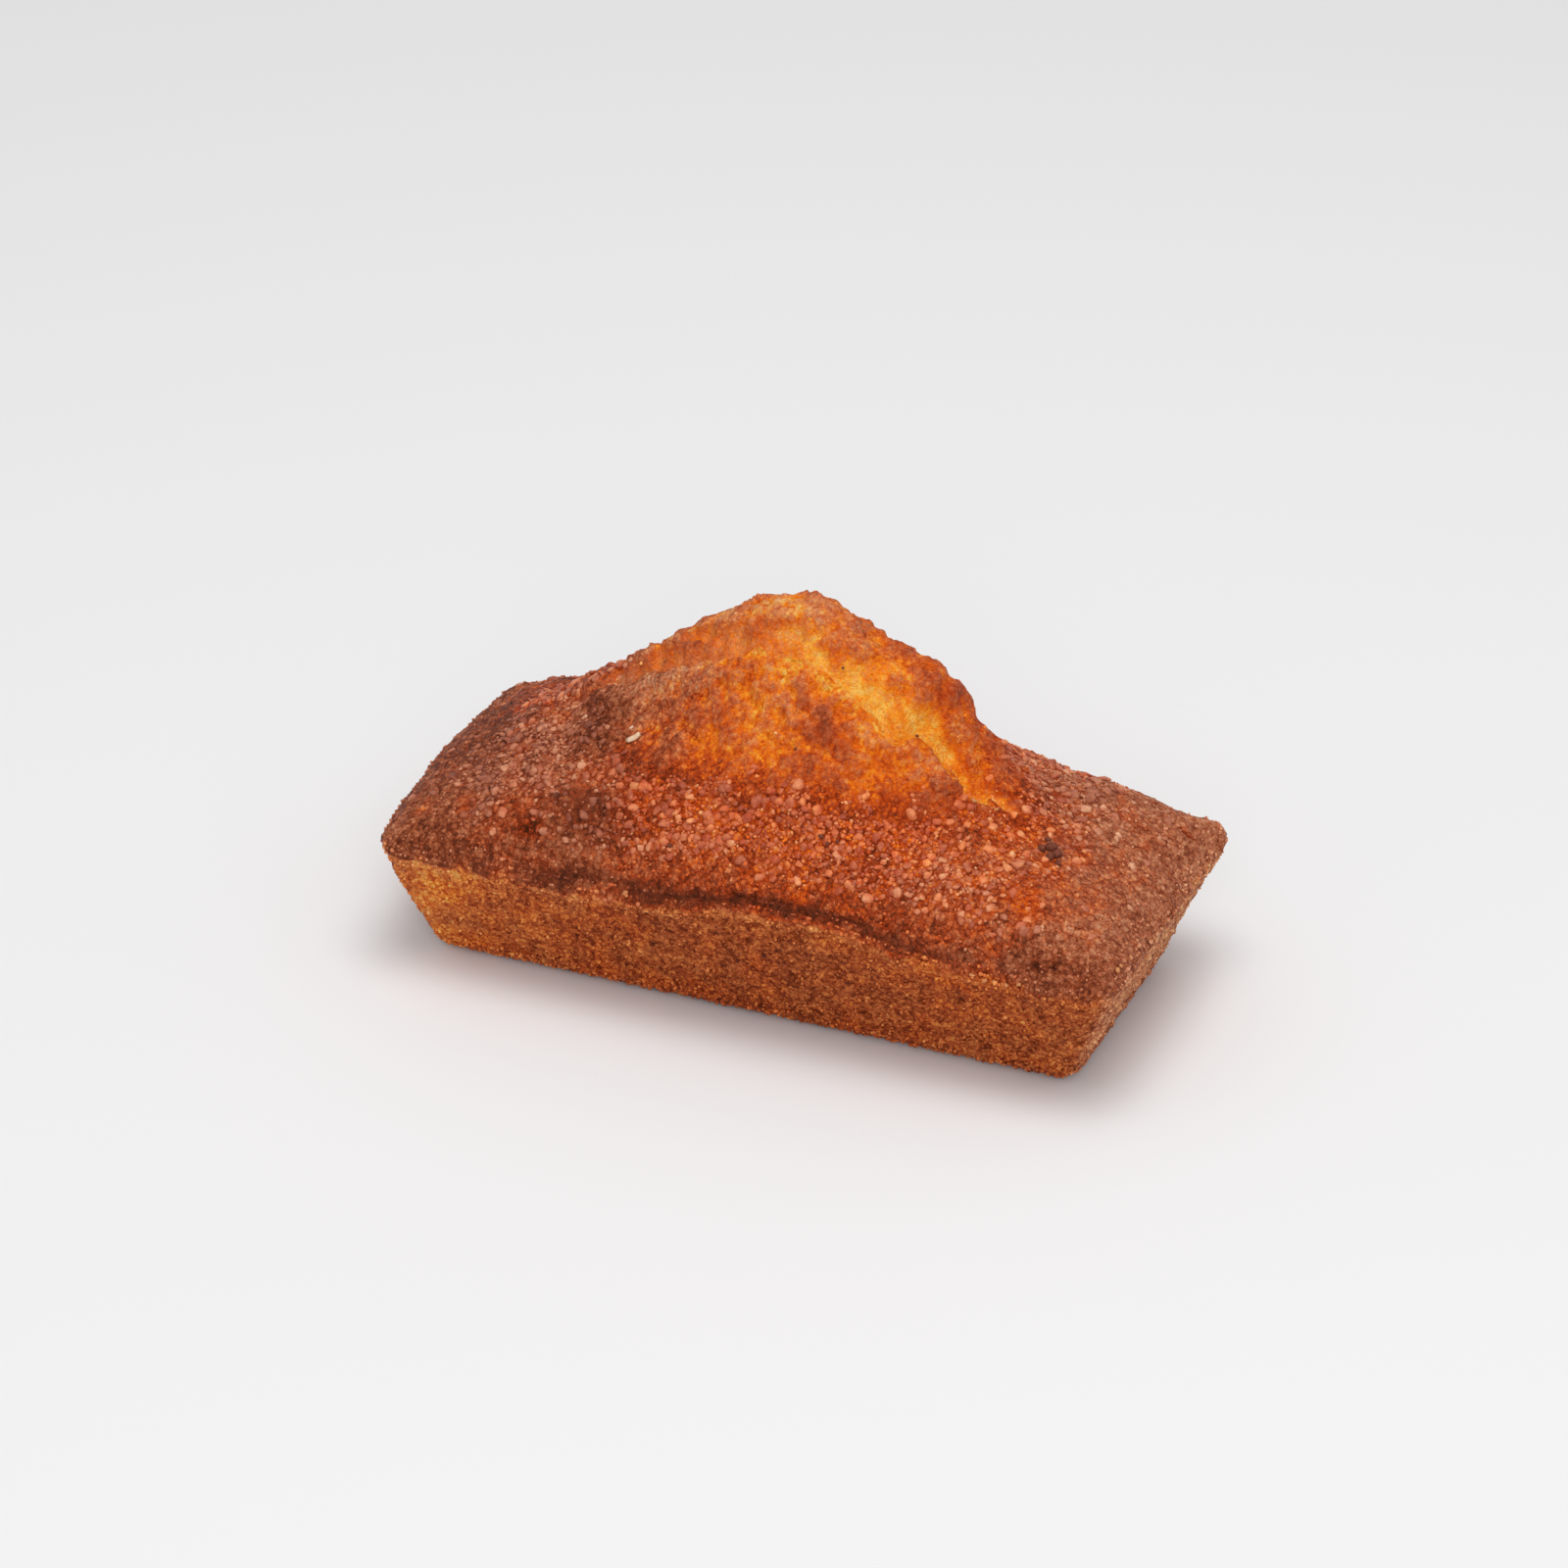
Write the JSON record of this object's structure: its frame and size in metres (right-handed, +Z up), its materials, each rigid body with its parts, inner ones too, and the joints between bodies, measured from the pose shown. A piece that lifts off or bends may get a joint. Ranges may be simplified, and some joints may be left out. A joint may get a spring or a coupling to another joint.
{
  "type": "financier cake",
  "caption": "Small oblong almond cake with a flat base, leaning sides, a browned sugared top and a split, risen middle.",
  "frame": {"origin": "centre of the flat base, on the surface the cake stands on", "axes": "+X along the cake's length towards the end where the split opens widest, +Y across it, +Z up"},
  "size_m": [0.095, 0.0424, 0.0471],
  "materials": {
    "crust": "browned baked crust, matte, with sugar grains"
  },
  "bodies": {
    "root": {"cake": "crust"}
  },
  "joints": []
}
